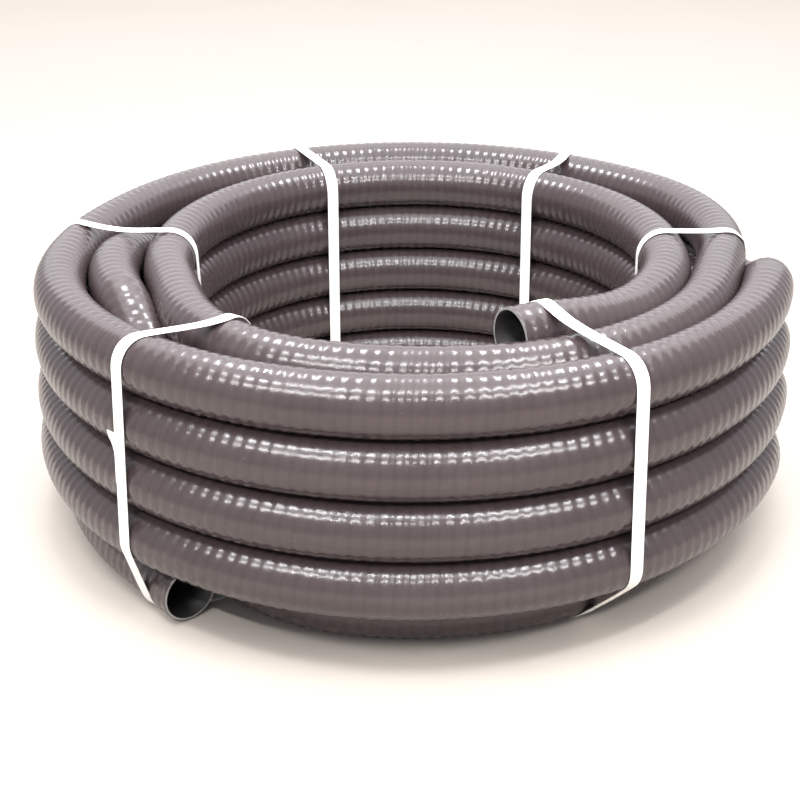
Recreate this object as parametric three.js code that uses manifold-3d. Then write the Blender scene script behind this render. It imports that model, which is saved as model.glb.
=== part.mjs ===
// A coil of 50 mm flexible PVC waste hose, 23.4 m of it in just under 13 turns, wound
// in three layers of five rows and held by six flat white polypropylene straps.
//
// Millimetres, +Z up. The origin is at the centre of the coil's underside, on the
// surface that it lies on. Azimuths are in degrees: 0 is the front, -Y, and they
// grow towards the right, +X. The hose is followed from its upper end, inside the
// coil at the front, to its lower end, outside the coil at the front left.

import * as THREE from 'three';
import * as BufferGeometryUtils from 'three/addons/utils/BufferGeometryUtils.js';
import Module from 'manifold-3d';

// ---- Driving dimensions ----

const HOSE_OD = 50;
const HOSE_ID = 43;
const ROWS = 5;
const ROW_PITCH = 51;

// Centreline radii of the outer and inner layers in the top row. The layers spread
// a little from row to row on the way down, and the middle layer lies half way. On
// the left the turns lie flatter side by side, so the bundle is wider there.
const OUTER_R = 329;
const OUTER_SPREAD = 3.25;
const INNER_R = 240;
const INNER_SPREAD = 1.5;
const WIDE_AZIMUTH = 270;
const WIDE_REACH = 70;
const WIDE_BY = 8;

const STRAP_WIDTH = 12;
const STRAP_THICKNESS = 1;
const STRAP_CLEARANCE = 1.2; // between a strap and the coil's plain solid
const WELD_LENGTH = 28; // where the strap's two ends overlap
const WELD_THICKNESS = 1.1;

const GAP = 0.3; // between solids that touch
const FITTING_ROOM = 14; // kept free ahead of the lower end's cut face

// The upper end leaves the inner layer's top row. Its slot in the section is empty
// from UPPER_SLOT_START round to the end's cut face.
const UPPER_SLOT_START = 318;
const UPPER_R = 240;
const UPPER_START = 54;
const UPPER_TANGENT = 30; // the last stretch is straight, on the tangent from here
const UPPER_CUT = 18.5;
const UPPER_LIFT = 13; // how far the end springs up as it straightens

// The bottom row tucks in over LOWER_TUCK degrees before the lower end, its middle and
// inner turns by MIDDLE_TUCK and INNER_TUCK. The slot ahead of the end is empty as far as
// LOWER_SLOT_END, where the outer layer reaches the bottom row.
const LOWER_R = 320;
const LOWER_TUCK = 40;
const MIDDLE_TUCK = 21;
const INNER_TUCK = 14;
const LOWER_START = 285;
const LOWER_TANGENT = 311;
const LOWER_CUT = 325.6;
const LOWER_SLOT_END = 80;

const STRAPS = [
  { name: 'strap_front_right', outer: 29, inner: 26.5, weld: 'inner', upper: 'end', lower: 'empty' },
  { name: 'strap_right', outer: 91, inner: 88.5, weld: 'outer' },
  { name: 'strap_back_right', outer: 148, inner: 145, weld: 'outer' },
  { name: 'strap_back_left', outer: 204, inner: 204, weld: 'outer' },
  { name: 'strap_left', outer: 264.5, inner: 271, weld: 'outer', lower: 'tucked' },
  { name: 'strap_front_left', outer: 319.5, inner: 326, weld: 'outer', upper: 'empty', lower: 'tucked' },
];

// ---- Resolution of the plain solids ----

const HOSE_SIDES = 12;
const END_STEPS = 6;
const AZIMUTH_STEP = 7.5;
const CUSP_ANGLE = 35; // each groove between turns is filled this far up
const EDGE_STEP = 0.1; // azimuth over which a slot's end face stands

// ---- Materials ----

const hosePVC = () => new THREE.MeshStandardMaterial({
  color: 0x7b7370,
  roughness: 0.34,
  metalness: 0,
});

const strapPP = () => new THREE.MeshStandardMaterial({
  color: 0xf0eeea,
  roughness: 0.45,
  metalness: 0,
});

// ---- Helpers ----

const HOSE_R = HOSE_OD / 2;
const COIL_BASE = STRAP_THICKNESS + STRAP_CLEARANCE;
const radians = THREE.MathUtils.degToRad;

function rowHeight(row) {
  return COIL_BASE + HOSE_R + (ROWS - row) * ROW_PITCH;
}

// How far the inner layer comes in at an azimuth, from 0 to WIDE_BY.
function widening(azimuth) {
  const away = Math.abs(((azimuth - WIDE_AZIMUTH + 540) % 360) - 180);
  return WIDE_BY * THREE.MathUtils.smoothstep(WIDE_REACH - away, 0, WIDE_REACH);
}

// How far the bottom row is tucked in at an azimuth, from 0 to 1.
function tuck(azimuth) {
  const into = THREE.MathUtils.smoothstep(azimuth, LOWER_START - LOWER_TUCK, LOWER_START);
  return into * (1 - THREE.MathUtils.smoothstep(azimuth, LOWER_CUT, LOWER_CUT + 25));
}

// The centre of a turn in the section at an azimuth, as (radius, height).
function turnCentre(layer, row, azimuth) {
  const outer = OUTER_R + (row - 1) * OUTER_SPREAD;
  const inner = INNER_R + (row - 1) * INNER_SPREAD - widening(azimuth);
  const centre = { outer, middle: (outer + inner) / 2, inner };
  if (row === ROWS) {
    const straight = radians(THREE.MathUtils.clamp(azimuth - LOWER_TANGENT, 0, 17));
    const lower = LOWER_R / Math.cos(straight);
    centre.outer = THREE.MathUtils.lerp(outer, lower, tuck(azimuth));
    centre.middle -= MIDDLE_TUCK * tuck(azimuth);
    centre.inner -= INNER_TUCK * tuck(azimuth);
  }
  return new THREE.Vector2(centre[layer], rowHeight(row));
}

function place(radius, azimuth, z) {
  const a = radians(azimuth);
  return new THREE.Vector3(radius * Math.sin(a), -radius * Math.cos(a), z);
}

function polar(centre, radius, angle) {
  return new THREE.Vector2(
    centre.x + radius * Math.cos(angle),
    centre.y + radius * Math.sin(angle),
  );
}

function direction(from, to) {
  return Math.atan2(to.y - from.y, to.x - from.x);
}

function turnFrom(a, b) {
  return (b - a + 4 * Math.PI) % (2 * Math.PI);
}

const wasm = await Module();
wasm.setup();

function merged(geometry) {
  const bare = geometry.clone();
  bare.deleteAttribute('normal');
  bare.deleteAttribute('uv');
  return BufferGeometryUtils.mergeVertices(bare, 1e-4);
}

function toManifold(geometry) {
  const closed = merged(geometry);
  return new wasm.Manifold(new wasm.Mesh({
    numProp: 3,
    vertProperties: new Float32Array(closed.attributes.position.array),
    triVerts: new Uint32Array(closed.index.array),
  }));
}

function toGeometry(manifold) {
  const mesh = manifold.getMesh();
  const geometry = new THREE.BufferGeometry();
  geometry.setAttribute('position', new THREE.BufferAttribute(mesh.vertProperties, 3));
  geometry.setIndex(new THREE.BufferAttribute(mesh.triVerts, 1));
  return geometry;
}

// ---- The coil's section, as (radius, height) ----

// The turns that show on the section's outside, anticlockwise from the outer
// layer's bottom row.
function sectionTurns(azimuth) {
  const turns = [];
  const add = (layer, row) => {
    turns.push({ id: `${layer}_${row}`, centre: turnCentre(layer, row, azimuth) });
  };
  for (let row = ROWS; row >= 1; row -= 1) {
    add('outer', row);
  }
  add('middle', 1);
  for (let row = 1; row <= ROWS; row += 1) {
    add('inner', row);
  }
  add('middle', ROWS);
  return turns;
}

function arcSteps(id) {
  return /^(outer|inner)_[15]$/.test(id) ? 7 : 4;
}

// The outside arc of each turn, cut off where it meets its neighbours.
function turnArc(previous, turn, next) {
  const cusp = radians(CUSP_ANGLE);
  const start = direction(turn.centre, previous.centre) + cusp;
  const sweep = turnFrom(start - cusp, direction(turn.centre, next.centre)) - 2 * cusp;
  const steps = arcSteps(turn.id);
  const points = [];
  for (let i = 0; i <= steps; i += 1) {
    points.push(polar(turn.centre, HOSE_R, start + (sweep * i) / steps));
  }
  return points;
}

// A turn that is missing leaves its points spread along the line between its
// neighbours, so that every section has the same number of points.
function sectionOutline(azimuth) {
  const missing = missingTurns(azimuth);
  const turns = sectionTurns(azimuth);
  const present = turns.filter((turn) => !missing.includes(turn.id));
  const arcs = new Map();
  present.forEach((turn, i) => {
    const previous = present[(i + present.length - 1) % present.length];
    const next = present[(i + 1) % present.length];
    arcs.set(turn.id, turnArc(previous, turn, next));
  });
  const points = [];
  turns.forEach((turn, i) => {
    if (arcs.has(turn.id)) {
      points.push(...arcs.get(turn.id));
      return;
    }
    const before = arcs.get(turns[(i + turns.length - 1) % turns.length].id).at(-1);
    const after = arcs.get(turns[(i + 1) % turns.length].id)[0];
    const count = arcSteps(turn.id) + 1;
    for (let k = 1; k <= count; k += 1) {
      points.push(before.clone().lerp(after, k / (count + 1)));
    }
  });
  points.push(points[0].clone());
  return points;
}

// ---- The coil ----

function within(azimuth, start, end) {
  return turnFrom(radians(start), radians(azimuth)) < turnFrom(radians(start), radians(end));
}

function missingTurns(azimuth) {
  const missing = [];
  if (within(azimuth, UPPER_SLOT_START, UPPER_START)) {
    missing.push('inner_1');
  }
  if (within(azimuth, LOWER_START, LOWER_SLOT_END)) {
    missing.push('outer_5');
  }
  return missing;
}

function coilStations() {
  const edges = [UPPER_SLOT_START, UPPER_START, LOWER_START, LOWER_SLOT_END];
  const azimuths = edges.flatMap((edge) => [edge - EDGE_STEP, edge]);
  for (let azimuth = 0; azimuth < 360; azimuth += AZIMUTH_STEP) {
    if (edges.every((edge) => Math.abs(edge - azimuth) > 2)) {
      azimuths.push(azimuth);
    }
  }
  azimuths.sort((a, b) => a - b);
  azimuths.push(azimuths[0] + 360);
  return azimuths;
}

// A lathe ring whose section changes at the ends of the two slots.
function coilRing() {
  const azimuths = coilStations();
  const profile = sectionOutline(azimuths[0]);
  const ring = new THREE.LatheGeometry(profile, azimuths.length - 1);
  const position = ring.attributes.position;
  azimuths.forEach((azimuth, i) => {
    sectionOutline(azimuth).forEach((point, j) => {
      const vertex = place(point.x, azimuth, point.y);
      position.setXYZ(i * profile.length + j, vertex.x, vertex.y, vertex.z);
    });
  });
  return ring;
}

// ---- The hose's two ends ----

// An arc of the coil, followed by a straight stretch along its tangent. It is
// followed from the coil to the cut face.
class HoseEnd extends THREE.Curve {
  constructor({ radius, start, tangent, cut, z, lift }) {
    super();
    this.radius = radius;
    this.start = start;
    this.tangent = tangent;
    this.z = z;
    this.lift = lift;
    this.arc = radius * Math.abs(radians(tangent - start));
    this.straight = radius * Math.tan(Math.abs(radians(cut - tangent)));
    this.total = this.arc + this.straight;
  }

  getPoint(t, target = new THREE.Vector3()) {
    const distance = t * this.total;
    const along = Math.min(distance, this.arc) / this.arc;
    const azimuth = THREE.MathUtils.lerp(this.start, this.tangent, along);
    const rise = this.lift * THREE.MathUtils.smoothstep(t, 0, 1);
    const point = place(this.radius, azimuth, this.z + rise);
    const heading = place(1, azimuth + (this.tangent > this.start ? 90 : -90), 0);
    point.addScaledVector(heading, Math.max(distance - this.arc, 0));
    return target.copy(point);
  }
}

function circleShape(radius) {
  const shape = new THREE.Shape();
  for (let i = 0; i < HOSE_SIDES; i += 1) {
    const corner = polar(new THREE.Vector2(), radius, (2 * Math.PI * i) / HOSE_SIDES);
    if (i === 0) {
      shape.moveTo(corner.x, corner.y);
    } else {
      shape.lineTo(corner.x, corner.y);
    }
  }
  shape.closePath();
  return shape;
}

function sweep(shape, path) {
  return new THREE.ExtrudeGeometry(shape, {
    steps: END_STEPS,
    bevelEnabled: false,
    curveSegments: 1,
    extrudePath: path,
  });
}

function hollowEnd(path) {
  const wall = circleShape(HOSE_R);
  wall.holes.push(circleShape(HOSE_ID / 2));
  return sweep(wall, path);
}

// The room that an end takes up in the coil, with a gap all round.
function clearanceOf(path) {
  return sweep(circleShape(HOSE_R + GAP * 1.5), path);
}

// The room straight ahead of an end's cut face, which a fitting needs.
function roomAhead(path, reach) {
  const heading = path.getTangent(1).setZ(0).normalize();
  const cut = path.getPoint(1);
  const from = cut.clone().addScaledVector(heading, -1);
  const to = cut.clone().addScaledVector(heading, reach);
  return sweep(circleShape(HOSE_R + GAP * 1.5), new THREE.LineCurve3(from, to));
}

const upperPath = new HoseEnd({
  radius: UPPER_R,
  start: UPPER_START - 0.2,
  tangent: UPPER_TANGENT,
  cut: UPPER_CUT,
  z: rowHeight(1),
  lift: UPPER_LIFT,
});

const lowerPath = new HoseEnd({
  radius: LOWER_R,
  start: LOWER_START + 0.2,
  tangent: LOWER_TANGENT,
  cut: LOWER_CUT,
  z: rowHeight(ROWS),
  lift: 0,
});

// ---- The straps ----

// The outline of a band pulled tight around four turns, or around the three or
// more that are there, grown by `offset`.
function bandOutline(centres, offset) {
  const points = [];
  centres.forEach((centre, i) => {
    const previous = centres[(i + centres.length - 1) % centres.length];
    const next = centres[(i + 1) % centres.length];
    const start = direction(previous, centre) - Math.PI / 2;
    const turn = turnFrom(start, direction(centre, next) - Math.PI / 2);
    const steps = Math.max(2, Math.round(turn / radians(15)));
    for (let k = 0; k <= steps; k += 1) {
      points.push(polar(centre, HOSE_R + offset, start + (turn * k) / steps));
    }
  });
  return points;
}

function bandCentres(strap) {
  const outer = (row) => turnCentre('outer', row, strap.outer);
  const middle = (row) => turnCentre('middle', row, (strap.outer + strap.inner) / 2);
  const inner = (row) => turnCentre('inner', row, strap.inner);
  const foot = {
    empty: [middle(ROWS), outer(ROWS - 1)],
    tucked: [outer(ROWS), outer(ROWS - 1)],
  }[strap.lower];
  const outside = [...(foot ?? [outer(ROWS)]), outer(1)];
  const end = new THREE.Vector2(UPPER_R + 1, rowHeight(1) + UPPER_LIFT);
  const top = { end: [end, inner(2)], empty: [middle(1), inner(2)] }[strap.upper];
  return [...outside, ...(top ?? [inner(1)]), inner(ROWS)];
}

// The strap's two ends lie over each other on one upright run. There the band is
// thicker by one layer.
function weldPad(strap, centres) {
  const height = (rowHeight(2) + rowHeight(3)) / 2;
  const outside = strap.weld === 'outer';
  const top = centres.findIndex((centre) => centre.y === rowHeight(1));
  const [low, high] = outside ? [centres[top - 1], centres[top]] : [centres.at(-1), centres.at(-2)];
  const along = (height - low.y) / (high.y - low.y);
  const sign = outside ? 1 : -1;
  const reach = HOSE_R + STRAP_CLEARANCE + STRAP_THICKNESS + WELD_THICKNESS / 4;
  const pad = new THREE.BoxGeometry(WELD_THICKNESS * 1.5, WELD_LENGTH, STRAP_WIDTH);
  pad.rotateZ(Math.atan2(low.x - high.x, high.y - low.y));
  pad.translate(THREE.MathUtils.lerp(low.x, high.x, along) + sign * reach, height, 0);
  return pad;
}

// Bends a flat band, drawn in (radius, height, width), around the coil's axis,
// and leans it from the outer azimuth to the inner one. The width runs towards
// lower azimuths, which keeps the faces pointing out.
function wrapped(geometry, strap) {
  const position = geometry.attributes.position;
  for (let i = 0; i < position.count; i += 1) {
    const radius = position.getX(i);
    const lean = THREE.MathUtils.smoothstep(radius, INNER_R - HOSE_R, OUTER_R + HOSE_R);
    const azimuth = THREE.MathUtils.lerp(strap.inner, strap.outer, lean);
    const turn = THREE.MathUtils.radToDeg(position.getZ(i) / radius);
    const vertex = place(radius, azimuth - turn, position.getY(i));
    position.setXYZ(i, vertex.x, vertex.y, vertex.z);
  }
  return geometry;
}

function strapGeometry(strap) {
  const centres = bandCentres(strap);
  const shape = new THREE.Shape(bandOutline(centres, STRAP_CLEARANCE + STRAP_THICKNESS));
  shape.holes.push(new THREE.Path(bandOutline(centres, STRAP_CLEARANCE)));
  const band = new THREE.ExtrudeGeometry(shape, { depth: STRAP_WIDTH, bevelEnabled: false });
  band.translate(0, 0, -STRAP_WIDTH / 2);
  const joined = toManifold(band).add(toManifold(weldPad(strap, centres)));
  return wrapped(toGeometry(joined), strap);
}

// ---- Assembly ----

const coil = new THREE.Group();

function addPiece(name, geometry, material) {
  const mesh = new THREE.Mesh(merged(geometry), material);
  mesh.name = name;
  mesh.geometry.computeVertexNormals();
  coil.add(mesh);
}

const ring = toManifold(coilRing())
  .subtract(toManifold(clearanceOf(upperPath)))
  .subtract(toManifold(clearanceOf(lowerPath)))
  .subtract(toManifold(roomAhead(lowerPath, FITTING_ROOM)));

addPiece('hose_coil', toGeometry(ring), hosePVC());
addPiece('hose_end_upper', hollowEnd(upperPath), hosePVC());
addPiece('hose_end_lower', hollowEnd(lowerPath), hosePVC());

for (const strap of STRAPS) {
  addPiece(strap.name, strapGeometry(strap), strapPP());
}

export default coil;
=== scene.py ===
import math

import bpy
import numpy as np
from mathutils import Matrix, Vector


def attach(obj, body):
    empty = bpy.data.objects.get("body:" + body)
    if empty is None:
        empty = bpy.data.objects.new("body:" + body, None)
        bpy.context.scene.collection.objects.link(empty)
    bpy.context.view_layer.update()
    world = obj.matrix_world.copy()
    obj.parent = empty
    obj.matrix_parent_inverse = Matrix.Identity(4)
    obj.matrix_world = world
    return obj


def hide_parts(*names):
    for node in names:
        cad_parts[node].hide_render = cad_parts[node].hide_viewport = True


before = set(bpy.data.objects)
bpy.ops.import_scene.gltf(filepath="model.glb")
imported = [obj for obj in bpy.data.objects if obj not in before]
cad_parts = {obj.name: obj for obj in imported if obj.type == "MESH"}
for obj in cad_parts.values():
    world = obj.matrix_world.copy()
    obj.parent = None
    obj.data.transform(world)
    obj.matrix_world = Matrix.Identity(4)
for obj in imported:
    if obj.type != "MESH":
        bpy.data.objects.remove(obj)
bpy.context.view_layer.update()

# ---- Sizes, in metres and degrees. The route repeats the CAD model's. ----

HOSE_R = 0.025
BORE_R = 0.0215
ROWS = 5
ROW_PITCH = 0.051
BASE = 0.0022 + HOSE_R
OUTER_R, OUTER_SPREAD = 0.329, 0.00325
INNER_R, INNER_SPREAD = 0.240, 0.0015
WIDE_AZIMUTH, WIDE_REACH, WIDE_BY = 270, 70, 0.008
UPPER_R, UPPER_START, UPPER_TANGENT = 0.240, 54, 30
UPPER_CUT, UPPER_LIFT = 18.5, 0.013
LOWER_R, LOWER_START, LOWER_TANGENT, LOWER_CUT = 0.320, 285, 311, 325.6
LAST_TURN = 4320  # wound before the turn that the lower end closes
END_EASE = 40  # over which each end leaves the bundle's plain run
ROUTE_STEP = 0.25

# The straps press the turns a little oval, so that three layers fit side by side.
OVAL_WIDE, OVAL_TALL = 0.0233, 0.0254
SQUEEZE = HOSE_R - OVAL_WIDE

RIB_PITCH = 0.0104
RIB_DEPTH = 0.0006
RINGS_PER_RIB = 5
SIDES = 24
BORE_RING = 0.03
WORN, WORN_REACH = 0.0013, 0.02
CUT_KIND = 1  # of the hose's faces and materials: outside, cut, bore

STRAP_WIDTH = 0.012
STRAP_THICK = 0.0008
STRAP_CLEAR = 0.0002
STRAP_STEP = 0.0035
WELD_BEFORE, WELD_AFTER = 6, 8  # steps of the welded overlap either side of its middle
TIP_LIFT = 0.0022
# Where the bundle's layers part, and the radii that a strap leans over between.
INNER_EDGE, BUNDLE_MIDDLE, OUTER_EDGE = 0.262, 0.29, 0.308
LEAN_FROM, LEAN_OVER = 0.262, 0.092
# name: (azimuth on the outside, on the inside, side of the welded overlap)
STRAPS = {
    "strap_front_right": (29.2, 26.3, "inner"),
    "strap_right": (91, 88.5, "outer"),
    "strap_back_right": (148, 145, "outer"),
    "strap_back_left": (204, 204, "outer"),
    "strap_left": (264.5, 271, "outer"),
    "strap_front_left": (319.5, 326, "outer"),
}

CAMERA_AT = 0, -1.200, 0.660
CAMERA_DOWN = 0.453
CAMERA_LENS = 59.4
CAMERA_SHIFT = -0.0159

FLOOR_HALF = 9.0
FLOOR_Z = 0.0012  # just above the straps' undersides, so no light leaks under them
AIM = 0, 0, 0.13
# Strip lights on both sides: (name, place on the right, width, height, power, colour)
STRIPS = [
    ("low_front", (0.56, -0.98, 1.00), 0.85, 0.05, 9.0, (1.0, 0.98, 0.96)),
    ("high_front", (0.40, -0.62, 1.20), 0.62, 0.05, 7.5, (0.97, 0.98, 1.0)),
    ("top", (0.36, 0.30, 1.35), 0.34, 0.08, 8, (0.95, 0.97, 1.0)),
]
# Broad soft lights, in the same order.
CARDS = [
    ("back_card", (0, 3.3, 2.0), 6.5, 2.8, 75, (1.0, 0.98, 1.0)),
    ("overhead", (0, 0.3, 3.2), 5.0, 5.0, 200, (1.0, 1.0, 1.0)),
]
SKY, SKY_STRENGTH = (0.95, 0.97, 1.0, 1.0), 0.75


def smooth(x):
    x = np.clip(x, 0, 1)
    return x * x * (3 - 2 * x)


def bump(azimuth, centre, reach):
    """A smooth hump over azimuth, 1 at centre and 0 at reach on either side."""
    return smooth(1 - np.abs(azimuth - centre) / reach)


def place(radius, azimuth, z):
    a = np.radians(azimuth)
    return np.stack(np.broadcast_arrays(radius * np.sin(a), -radius * np.cos(a), z), -1)


def distances(points):
    """How far along a run of points each one lies."""
    steps = np.linalg.norm(np.diff(points, axis=0), axis=1)
    return np.concatenate([[0], np.cumsum(steps)])


# ---- Camera ----


def make_camera():
    data = bpy.data.cameras.new("camera")
    data.sensor_width = 36
    data.lens = CAMERA_LENS
    data.shift_x = CAMERA_SHIFT
    camera = bpy.data.objects.new("camera", data)
    camera.location = CAMERA_AT
    camera.rotation_euler = (math.pi / 2 - CAMERA_DOWN, 0, 0)
    bpy.context.scene.collection.objects.link(camera)
    bpy.context.scene.camera = camera


# ---- The hose's route: down the outside, up the middle, down the inside ----


def row_height(row):
    return BASE + (ROWS - row) * ROW_PITCH


def widening(azimuth):
    away = np.abs((azimuth - WIDE_AZIMUTH + 540) % 360 - 180)
    return WIDE_BY * smooth((WIDE_REACH - away) / WIDE_REACH)


def layer_radius(layer, row, azimuth):
    outer = OUTER_R + (row - 1) * OUTER_SPREAD + SQUEEZE
    inner = INNER_R + (row - 1) * INNER_SPREAD - widening(azimuth) - SQUEEZE
    return {"outer": outer, "middle": (outer + inner) / 2, "inner": inner}[layer]


# Where the hose lies level, as (azimuth wound so far, layer, row from the top).
WINDING = [
    (UPPER_CUT, "inner", 1), (290, "inner", 1), (345, "middle", 1), (432, "middle", 1),
    # out to the outside and down it
    (488, "outer", 1), (792, "outer", 1), (822, "outer", 2), (1152, "outer", 2),
    (1182, "outer", 3), (1512, "outer", 3), (1542, "outer", 4), (1866, "outer", 4),
    # up the middle, once over the top on the left, and in
    (1900, "middle", 4), (2050, "middle", 4), (2100, "middle", 3), (2190, "middle", 3),
    (2250, "middle", 2), (2396, "middle", 2), (2438, "middle", 1), (2454, "middle", 1),
    (2480, "middle", 2), (2535, "middle", 2),
    # down the inside
    (2590, "inner", 2), (2885, "inner", 2), (2930, "inner", 3), (3240, "inner", 3),
    (3285, "inner", 4), (3595, "inner", 4), (3640, "inner", 5), (3935, "inner", 5),
    # out along the bottom
    (3980, "middle", 4), (4022, "middle", 4), (4058, "middle", 5), (4378, "middle", 5),
    (4418, "outer", 5), (LAST_TURN + LOWER_CUT, "outer", 5),
]
LAST_AZIMUTH = WINDING[-1][0]

# Small humps along the way: (azimuth wound so far, reach, outwards, upwards).
HUMPS = [
    # The innermost turn on top keeps close in at the front, and out on the right.
    (347, 38, -0.0065, 0.0),
    (400, 38, 0.0030, 0.0),
    # The turn that comes over the top on the left leans on the inner one.
    (2418, 24, -0.0110, 0.0),
    # Inside the front the turns ride up a little where the last one goes out.
    (2870, 45, 0.0, 0.0200),
    (3230, 45, 0.0, 0.0200),
    (3590, 45, 0.0, 0.0200),
    (3958, 20, 0.0, 0.0050),
]
# Stretches that lie further in: (from, to, ease, inwards).
TUCKS = [
    # The bottom turns make room for the lower end, which is tucked in.
    (LAST_TURN - 360 + 245, LAST_TURN - 360 + 350, 40, 0.0200),
    (LAST_TURN - 720 + 245, LAST_TURN - 720 + 350, 40, 0.0140),
    # The outer top turn comes in at the back, where nothing lies beside it.
    (450, 655, 50, 0.0165),
]


def coil_point(azimuth):
    """Radius and height of the hose's centreline after so much winding."""
    radius, height = np.zeros_like(azimuth), np.zeros_like(azimuth)
    for (a0, l0, r0), (a1, l1, r1) in zip(WINDING, WINDING[1:]):
        here = (azimuth >= a0) & (azimuth <= a1)
        a = azimuth[here]
        t = smooth((a - a0) / (a1 - a0))
        radius[here] = (1 - t) * layer_radius(l0, r0, a) + t * layer_radius(l1, r1, a)
        height[here] = (1 - t) * row_height(r0) + t * row_height(r1)
    for centre, reach, outwards, upwards in HUMPS:
        radius += outwards * bump(azimuth, centre, reach)
        height += upwards * bump(azimuth, centre, reach)
    for start, stop, ease, inwards in TUCKS:
        radius -= inwards * smooth((azimuth - start) / ease) * smooth((stop - azimuth) / ease)
    return radius, height


def hose_route():
    """The centreline, closely spaced, and how oval the hose is along it."""
    azimuth = np.arange(UPPER_CUT, LAST_AZIMUTH + ROUTE_STEP / 2, ROUTE_STEP)
    radius, height = coil_point(azimuth)
    free = smooth((azimuth - UPPER_START) / END_EASE)
    radius = radius + (1 - free) * (UPPER_R - radius)
    low = smooth((azimuth - LAST_TURN - LOWER_START + END_EASE) / END_EASE)
    radius = radius + low * (LOWER_R - radius)
    points = place(radius, azimuth, height)
    # Both ends straighten along their tangents, and the upper one springs up.
    upper = azimuth < UPPER_TANGENT
    past = UPPER_R * np.tan(np.radians(UPPER_TANGENT - azimuth[upper]))
    points[upper] = place(UPPER_R, UPPER_TANGENT, height[upper])
    points[upper] += past[:, None] * place(1.0, UPPER_TANGENT - 90.0, 0.0)
    lower = azimuth > LAST_TURN + LOWER_TANGENT
    past = LOWER_R * np.tan(np.radians(azimuth[lower] - LAST_TURN - LOWER_TANGENT))
    points[lower] = place(LOWER_R, LOWER_TANGENT, height[lower])
    points[lower] += past[:, None] * place(1.0, LOWER_TANGENT + 90.0, 0.0)
    sprung = smooth((UPPER_START - azimuth) / (UPPER_START - UPPER_CUT))
    points[:, 2] += UPPER_LIFT * sprung
    return points, azimuth, free * (1 - low)


def oval_radii(oval):
    """The hose's half width and half height where it is so oval, from 0 to 1."""
    wide = HOSE_R + oval * (OVAL_WIDE - HOSE_R)
    tall = HOSE_R + oval * (OVAL_TALL - HOSE_R)
    return wide, tall


class Route:
    """The centreline by distance along it, with its frame and its ovalness."""

    def __init__(self):
        self.points, self.azimuth, self.oval = hose_route()
        self.at = distances(self.points)
        self.length = self.at[-1]
        ahead = np.gradient(self.points, self.at, axis=0)
        self.ahead = ahead / np.linalg.norm(ahead, axis=1)[:, None]

    def sample(self, s, values):
        flat = values.reshape(len(self.at), -1)
        out = [np.interp(s, self.at, flat[:, k]) for k in range(flat.shape[1])]
        return np.stack(out, -1)

    def surface(self, s, angle, depth):
        """Points on the hose at a distance along it and an angle round it."""
        centre = self.sample(s, self.points)
        ahead = self.sample(s, self.ahead)
        ahead /= np.linalg.norm(ahead, axis=-1)[..., None]
        side = np.cross(ahead, [0.0, 0.0, 1.0])
        side /= np.linalg.norm(side, axis=-1)[..., None]
        up = np.cross(side, ahead)
        wide, tall = oval_radii(self.sample(s, self.oval)[..., 0])
        across = ((wide - depth) * np.cos(angle))[..., None] * side
        return centre + across + ((tall - depth) * np.sin(angle))[..., None] * up


# ---- The hose's mesh: ribs that wind round it as one screw thread ----


def rib_shape(phase):
    """Depth below the ribs' crests: a smooth wave from one to the next."""
    x = np.abs(phase - np.round(phase)) * 2
    return RIB_DEPTH * 0.5 * (1 - np.cos(np.pi * x))


def skin(route):
    """The ribbed outside: its points, their depths and the grid of their numbers."""
    step = RIB_PITCH / RINGS_PER_RIB
    rows = np.arange(-RINGS_PER_RIB, int(route.length / step) + 2)
    i, j = np.meshgrid(rows, np.arange(SIDES), indexing="ij")
    # Each ring is one turn of the thread, so the ribs run along the mesh.
    s = np.clip((i + RINGS_PER_RIB * j / SIDES) * step, 0, route.length)
    depth = rib_shape(s / RIB_PITCH - j / SIDES)
    points = route.surface(s, 2 * np.pi * j / SIDES, depth)
    # Points held at a cut are one point of its rim.
    first = np.array([np.max(np.nonzero(s[:, k] <= 0)) for k in range(SIDES)])
    last = np.array([np.min(np.nonzero(s[:, k] >= route.length)) for k in range(SIDES)])
    ring = np.clip(np.arange(len(rows))[:, None], first[None], last[None])
    return points, depth, ring * SIDES + np.arange(SIDES)[None]


def bore(route):
    """The smooth inside: its points, and the grid of their numbers."""
    along = np.linspace(0, route.length, int(route.length / BORE_RING))
    s, j = np.meshgrid(along, np.arange(SIDES), indexing="ij")
    # The bore's edge is rounded off at both cuts.
    from_end = np.minimum(s, route.length - s)
    worn = WORN * smooth(1 - from_end / WORN_REACH)
    points = route.surface(s, 2 * np.pi * j / SIDES, HOSE_R - BORE_R - worn)
    return points, np.arange(len(along) * SIDES).reshape(-1, SIDES)


def quads_of(grid, flip):
    """Faces between neighbouring rows and columns of a grid."""
    a, b, c, d = grid[:-1, :-1], grid[1:, :-1], grid[1:, 1:], grid[:-1, 1:]
    corners = [a, d, c, b] if flip else [a, b, c, d]
    return np.stack(corners, -1).reshape(-1, 4).tolist()


def rims_of(outside, inside):
    """The two annular cut faces, between the first rings and between the last."""
    rims = []
    for k in range(SIDES):
        m = (k + 1) % SIDES
        rims.append([outside[0, k], outside[0, m], inside[0, m], inside[0, k]])
        rims.append([outside[-1, m], outside[-1, k], inside[-1, k], inside[-1, m]])
    return rims


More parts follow.
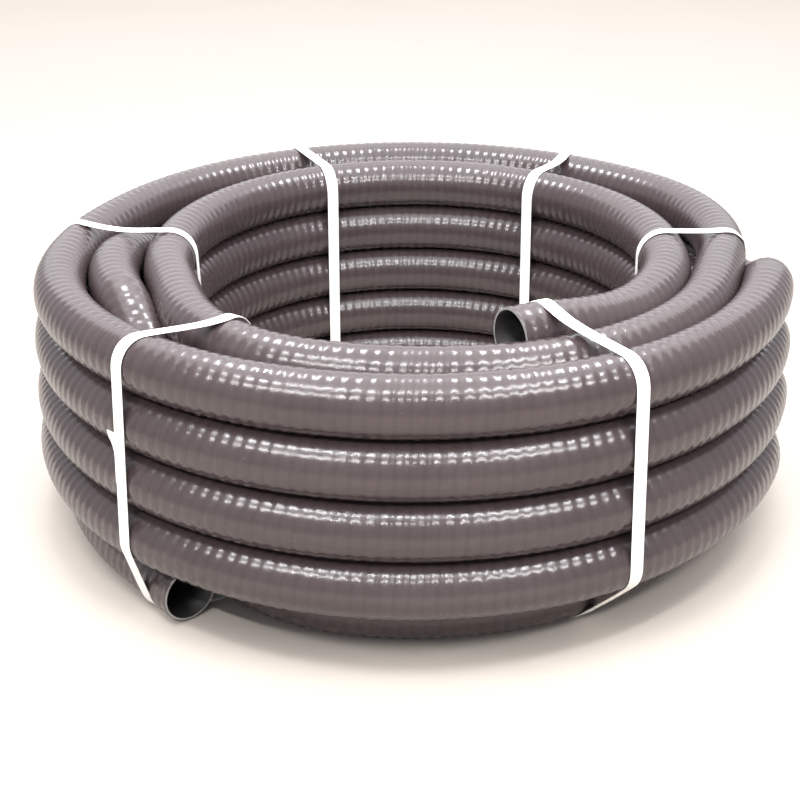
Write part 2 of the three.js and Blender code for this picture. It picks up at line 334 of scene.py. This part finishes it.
def hose_mesh(route):
    points, depth, outside = skin(route)
    bore_points, inside = bore(route)
    inside = inside + depth.size
    # Across the seam a ring of the thread meets the one a whole rib further on.
    held = np.repeat(outside[-1:, :1], RINGS_PER_RIB, 0)
    seam = np.concatenate([outside[RINGS_PER_RIB:, :1], held])
    groups = [
        quads_of(np.concatenate([outside, seam], axis=1), False),
        rims_of(outside, inside),
        quads_of(np.concatenate([inside, inside[:, :1]], axis=1), True),
    ]
    faces, kinds = [], []
    for kind, group in enumerate(groups):
        for quad in group:
            # At a cut some quads close up into triangles or vanish.
            corners = [v for v, w in zip(quad, quad[1:] + quad[:1]) if v != w]
            if len(set(corners)) >= 3:
                faces.append(corners)
                kinds.append(kind)
    points = np.concatenate([points.reshape(-1, 3), bore_points.reshape(-1, 3)])
    crest = np.concatenate([1 - depth.ravel() / RIB_DEPTH, np.ones(inside.size)])
    used, flat = np.unique(np.concatenate(faces), return_inverse=True)
    ends = np.cumsum([0] + [len(face) for face in faces])
    faces = [flat[a:b].tolist() for a, b in zip(ends, ends[1:])]
    mesh = bpy.data.meshes.new("hose")
    mesh.from_pydata(points[used].tolist(), [], faces)
    mesh.polygons.foreach_set("material_index", kinds)
    mesh.polygons.foreach_set("use_smooth", [kind != CUT_KIND for kind in kinds])
    layer = mesh.attributes.new("crest", "FLOAT", "POINT")
    layer.data.foreach_set("value", crest[used].astype(np.float32))
    mesh.update()
    mesh.validate()
    return mesh


def link(name, mesh, *materials):
    piece = bpy.data.objects.new(name, mesh)
    for material in materials:
        mesh.materials.append(material)
    bpy.context.scene.collection.objects.link(piece)
    return piece


# ---- Materials ----


class Nodes:
    """A short way to write a node material."""

    def __init__(self, name):
        self.material = bpy.data.materials.new(name)
        self.material.use_nodes = True
        self.tree = self.material.node_tree
        self.shader = self.tree.nodes["Principled BSDF"]

    def add(self, kind, inputs=(), **settings):
        node = self.tree.nodes.new(kind)
        for key, value in settings.items():
            setattr(node, key, value)
        for key, value in dict(inputs).items():
            self.set(node.inputs[key], value)
        return node

    def set(self, socket, value):
        if isinstance(value, bpy.types.NodeSocket):
            self.tree.links.new(value, socket)
        else:
            socket.default_value = value

    def noise(self, scale, detail=3.0, rough=0.55):
        node = self.add(
            "ShaderNodeTexNoise", {"Scale": scale, "Detail": detail, "Roughness": rough}
        )
        self.set(node.inputs["Vector"], self.add("ShaderNodeTexCoord").outputs["Object"])
        return node.outputs["Fac"]

    def ramp(self, value, low, high, to_low=0.0, to_high=1.0):
        node = self.add(
            "ShaderNodeMapRange", {"Value": value, "From Min": low, "From Max": high}
        )
        self.set(node.inputs["To Min"], to_low)
        self.set(node.inputs["To Max"], to_high)
        return node.outputs["Result"]

    def mix(self, factor, a, b):
        node = self.add("ShaderNodeMix", data_type="RGBA")
        self.set(node.inputs["Factor"], factor)
        self.set(node.inputs["A"], a)
        self.set(node.inputs["B"], b)
        return node.outputs["Result"]

    def math(self, operation, a, b):
        node = self.add("ShaderNodeMath", operation=operation)
        self.set(node.inputs[0], a)
        self.set(node.inputs[1], b)
        return node.outputs[0]

    def attribute(self, name):
        return self.add("ShaderNodeAttribute", attribute_name=name).outputs["Fac"]

    def bump(self, height, distance, normal=None):
        node = self.add(
            "ShaderNodeBump", {"Height": height, "Distance": distance, "Strength": 1.0}
        )
        if normal is not None:
            self.set(node.inputs["Normal"], normal)
        return node.outputs["Normal"]


def rgba(r, g, b):
    return (r, g, b, 1.0)


def hose_material():
    n = Nodes("hose_pvc")
    crest = n.attribute("crest")
    broad = n.noise(9.0, 2.0)
    cloud = n.noise(70.0, 4.0, 0.6)
    fine = n.noise(900.0, 3.0, 0.6)
    dark, light = rgba(0.043, 0.0300, 0.032), rgba(0.051, 0.0365, 0.038)
    colour = n.mix(n.ramp(broad, 0.35, 0.65), dark, light)
    colour = n.mix(n.ramp(cloud, 0.3, 0.75, 0.0, 0.35), colour, rgba(0.061, 0.045, 0.047))
    # Painted shade: the rib valleys are coloured darker, standing in for the shade that falls
    # in them.
    valley_shade = n.ramp(crest, 0.0, 0.4, 0.25, 0.0)
    colour = n.mix(valley_shade, colour, rgba(0.022, 0.017, 0.018))
    scuff = n.ramp(n.noise(210.0, 6.0, 0.7), 0.62, 0.74, 0.0, 0.35)
    colour = n.mix(n.math("MULTIPLY", scuff, crest), colour, rgba(0.100, 0.088, 0.086))
    n.set(n.shader.inputs["Base Color"], colour)
    rough = n.ramp(cloud, 0.3, 0.7, 0.17, 0.25)
    rough = n.math("ADD", rough, n.math("MULTIPLY", scuff, 0.3))
    n.set(n.shader.inputs["Roughness"], rough)
    normal = n.bump(cloud, 0.00035)
    normal = n.bump(fine, 0.00004, normal)
    n.set(n.shader.inputs["Normal"], normal)
    n.shader.inputs["IOR"].default_value = 1.53
    return n.material


def cut_material():
    n = Nodes("hose_cut")
    cloud = n.noise(420.0, 4.0, 0.6)
    dark, light = rgba(0.20, 0.20, 0.19), rgba(0.34, 0.34, 0.33)
    colour = n.mix(n.ramp(cloud, 0.3, 0.7), dark, light)
    n.set(n.shader.inputs["Base Color"], colour)
    n.set(n.shader.inputs["Roughness"], n.ramp(cloud, 0.3, 0.7, 0.45, 0.65))
    n.set(n.shader.inputs["Normal"], n.bump(n.noise(1500.0), 0.0001))
    return n.material


def bore_material():
    n = Nodes("hose_bore_painted_shade")
    cloud = n.noise(120.0, 4.0, 0.6)
    # Painted shade: the bore is coloured near black, far darker than the same PVC outside,
    # standing in for the shade inside the hose.
    dark, light = rgba(0.010, 0.009, 0.009), rgba(0.020, 0.018, 0.018)
    colour = n.mix(n.ramp(cloud, 0.3, 0.7), dark, light)
    n.set(n.shader.inputs["Base Color"], colour)
    n.set(n.shader.inputs["Roughness"], n.ramp(cloud, 0.3, 0.7, 0.45, 0.6))
    n.set(n.shader.inputs["Normal"], n.bump(n.noise(600.0), 0.00006))
    return n.material


def strap_material():
    n = Nodes("strap_pp")
    coord = n.add("ShaderNodeUVMap", uv_map="strap")
    cloud = n.noise(60.0, 3.0)
    dark, light = rgba(0.80, 0.785, 0.75), rgba(0.90, 0.89, 0.865)
    colour = n.mix(n.ramp(cloud, 0.3, 0.7), dark, light)
    dirt = n.ramp(n.noise(150.0, 5.0, 0.7), 0.6, 0.78, 0.0, 0.4)
    colour = n.mix(dirt, colour, rgba(0.55, 0.52, 0.47))
    n.set(n.shader.inputs["Base Color"], colour)
    n.set(n.shader.inputs["Roughness"], n.ramp(cloud, 0.3, 0.7, 0.36, 0.5))
    # The usual embossing of packing strap: two crossing sets of fine ridges.
    waves = []
    for turn in (math.radians(38), math.radians(-38)):
        mapped = n.add("ShaderNodeMapping", {"Vector": coord.outputs["UV"]})
        mapped.inputs["Rotation"].default_value = (0, 0, turn)
        vector = mapped.outputs["Vector"]
        wave = n.add("ShaderNodeTexWave", {"Scale": 160.0, "Vector": vector})
        waves.append(wave.outputs["Fac"])
    emboss = n.math("MULTIPLY", waves[0], waves[1])
    n.set(n.shader.inputs["Normal"], n.bump(emboss, 0.00022))
    return n.material


# ---- Straps ----


def layer_at(radius):
    if radius < INNER_EDGE:
        return "inner"
    return "outer" if radius > OUTER_EDGE else "middle"


def turns_at(route, azimuth_outer, azimuth_inner):
    """(radius, height, half width, half height) of each turn the strap goes round."""
    found = []
    radius = np.hypot(route.points[:, 0], route.points[:, 1])
    crossings = [
        ("outer", azimuth_outer),
        ("middle", (azimuth_outer + azimuth_inner) / 2),
        ("inner", azimuth_inner),
    ]
    for turn in range(0, LAST_TURN + 360, 360):
        for layer, azimuth in crossings:
            at = turn + azimuth
            if not route.azimuth[0] + 1 < at < route.azimuth[-1] - 1:
                continue
            r = np.interp(at, route.azimuth, radius)
            if layer_at(r) != layer:
                continue
            z = np.interp(at, route.azimuth, route.points[:, 2])
            wide, tall = oval_radii(np.interp(at, route.azimuth, route.oval))
            found.append((r, z, wide, tall))
    return found


def hull(points):
    """The convex outline of 2-D points, anticlockwise."""
    points = sorted(map(tuple, points))

    def half(run):
        out = []
        for p in run:
            while len(out) > 1:
                (ax, ay), (bx, by) = out[-2], out[-1]
                if (bx - ax) * (p[1] - ay) - (by - ay) * (p[0] - ax) > 1e-12:
                    break
                out.pop()
            out.append(p)
        return out[:-1]

    return np.array(half(points) + half(points[::-1]))


def strap_loop(route, azimuth_outer, azimuth_inner):
    """The strap's run round the bundle as evenly spaced (radius, height)."""
    around = np.linspace(0, 2 * np.pi, 72, endpoint=False)
    dots = []
    for r, z, wide, tall in turns_at(route, azimuth_outer, azimuth_inner):
        x = r + (wide + STRAP_CLEAR) * np.cos(around)
        y = z + (tall + STRAP_CLEAR) * np.sin(around)
        dots.extend(zip(x, y))
    outline = hull(dots)
    closed = np.vstack([outline, outline[:1]])
    at = distances(closed)
    even = np.linspace(0, at[-1], int(at[-1] / STRAP_STEP), endpoint=False)
    return np.stack([np.interp(even, at, closed[:, k]) for k in range(2)], -1)


def lean(radius, azimuth_outer, azimuth_inner):
    """A strap's azimuth at a radius, as it lies a little aslant over the top."""
    t = smooth((radius - LEAN_FROM) / LEAN_OVER)
    return azimuth_inner + (azimuth_outer - azimuth_inner) * t


def band(run, azimuths, lift, width, thick, closed):
    """A flat band along a run of (radius, height), as points, faces and UVs."""
    n = len(run)
    if closed:
        after, before = np.roll(run, -1, 0), np.roll(run, 1, 0)
    else:
        after = np.vstack([run[1:], 2 * run[-1] - run[-2]])
        before = np.vstack([2 * run[0] - run[1], run[:-1]])
    tangent = after - before
    tangent /= np.linalg.norm(tangent, axis=1)[:, None]
    normal = np.stack([tangent[:, 1], -tangent[:, 0]], -1)
    # The band's section, across it and up through it, with its edges chamfered.
    inset = 0.5 - 0.12 * thick / width * 6
    corners = [
        (-0.5, 0.25), (-inset, 0.0), (inset, 0.0), (0.5, 0.25),
        (0.5, 0.75), (inset, 1.0), (-inset, 1.0), (-0.5, 0.75),
    ]
    points, uvs = [], []
    along = distances(run)
    for across, up in corners:
        out = run + normal * (lift + up * thick)[:, None]
        spot = place(out[:, 0], azimuths, out[:, 1])
        sideways = place(1.0, azimuths + 90.0, np.zeros(n))
        points.append(spot + sideways * across * width)
        uvs.append(np.stack([along, np.full(n, across * width)], -1))
    points = np.stack(points, 1).reshape(-1, 3)
    uvs = np.stack(uvs, 1).reshape(-1, 2)
    m = len(corners)
    faces = []
    for i in range(n if closed else n - 1):
        k = (i + 1) % n
        for c in range(m):
            d = (c + 1) % m
            faces.append((i * m + c, i * m + d, k * m + d, k * m + c))
    if not closed:
        faces.append(tuple(range(m))[::-1])
        faces.append(tuple((n - 1) * m + c for c in range(m)))
    return points, faces, uvs


def overlap_run(run, weld):
    """Which points of a strap's run lie under its welded overlap."""
    height = (row_height(2) + row_height(3)) / 2
    outside = run[:, 0] > BUNDLE_MIDDLE
    on_side = outside if weld == "outer" else ~outside
    away = np.where(on_side, np.abs(run[:, 1] - height), np.inf)
    middle = int(np.argmin(away))
    return np.arange(middle - WELD_BEFORE, middle + WELD_AFTER) % len(run)


def strap_piece(route, name, material):
    outer, inner, weld = STRAPS[name]
    run = strap_loop(route, outer, inner)
    azimuths = lean(run[:, 0], outer, inner)
    flat = np.zeros(len(run))
    points, faces, uvs = band(run, azimuths, flat, STRAP_WIDTH, STRAP_THICK, True)
    # The strap's other end lies over it and is welded down, all but its tip.
    picks = overlap_run(run, weld)
    t = np.linspace(0, 1, len(picks))
    rise = flat[picks] + STRAP_THICK * 0.97
    rise += TIP_LIFT * smooth((t - 0.66) / 0.34) + 0.00012 * np.sin(t * 40)
    skew = azimuths[picks] - 0.9 * smooth((t - 0.5) / 0.5)
    end = band(run[picks], skew, rise, STRAP_WIDTH * 0.97, STRAP_THICK, False)
    faces += [tuple(v + len(points) for v in face) for face in end[1]]
    points = np.vstack([points, end[0]])
    uvs = np.vstack([uvs, end[2]])
    mesh = bpy.data.meshes.new(name)
    mesh.from_pydata(points.tolist(), [], faces)
    layer = mesh.uv_layers.new(name="strap")
    corner = np.zeros(len(mesh.loops), dtype=np.int32)
    mesh.loops.foreach_get("vertex_index", corner)
    layer.data.foreach_set("uv", uvs[corner].ravel().astype(np.float32))
    mesh.update()
    mesh.validate()
    return link(name + "_band", mesh, material)


# ---- Stage and light ----


def make_floor():
    mesh = bpy.data.meshes.new("floor")
    signs = (-1, -1), (1, -1), (1, 1), (-1, 1)
    corners = [(FLOOR_HALF * x, FLOOR_HALF * y, FLOOR_Z) for x, y in signs]
    mesh.from_pydata(corners, [], [(0, 1, 2, 3)])
    n = Nodes("floor")
    dark, light = rgba(0.455, 0.410, 0.370), rgba(0.480, 0.430, 0.390)
    n.set(n.shader.inputs["Base Color"], n.mix(n.noise(3.0), dark, light))
    n.shader.inputs["Roughness"].default_value = 0.8
    floor = link("floor", mesh, n.material)


def area_light(name, where, size, size_y, power, colour):
    data = bpy.data.lights.new(name, "AREA")
    data.shape = "RECTANGLE"
    data.size, data.size_y = size, size_y
    data.energy = power
    data.color = colour
    light = bpy.data.objects.new(name, data)
    light.location = where
    towards = Vector(AIM) - Vector(where)
    light.rotation_euler = towards.to_track_quat("-Z", "Y").to_euler()
    bpy.context.scene.collection.objects.link(light)


def make_lights():
    for side in (-1, 1):
        for name, (x, y, z), *rest in STRIPS:
            area_light(name, (x * side, y, z), *rest)
    for card in CARDS:
        area_light(*card)
    world = bpy.data.worlds.new("world")
    bpy.context.scene.world = world
    world.use_nodes = True
    background = world.node_tree.nodes["Background"]
    background.inputs["Color"].default_value = SKY
    background.inputs["Strength"].default_value = SKY_STRENGTH
    bpy.context.scene.view_settings.view_transform = "Standard"


# ---- Making it ----

make_camera()
route = Route()
hose = link("hose", hose_mesh(route), hose_material(), cut_material(), bore_material())
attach(hose, "root")
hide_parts("hose_coil", "hose_end_upper", "hose_end_lower")

strap_look = strap_material()
for strap in STRAPS:
    piece = strap_piece(route, strap, strap_look)
    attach(piece, "root")
    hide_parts(strap)

make_floor()
make_lights()
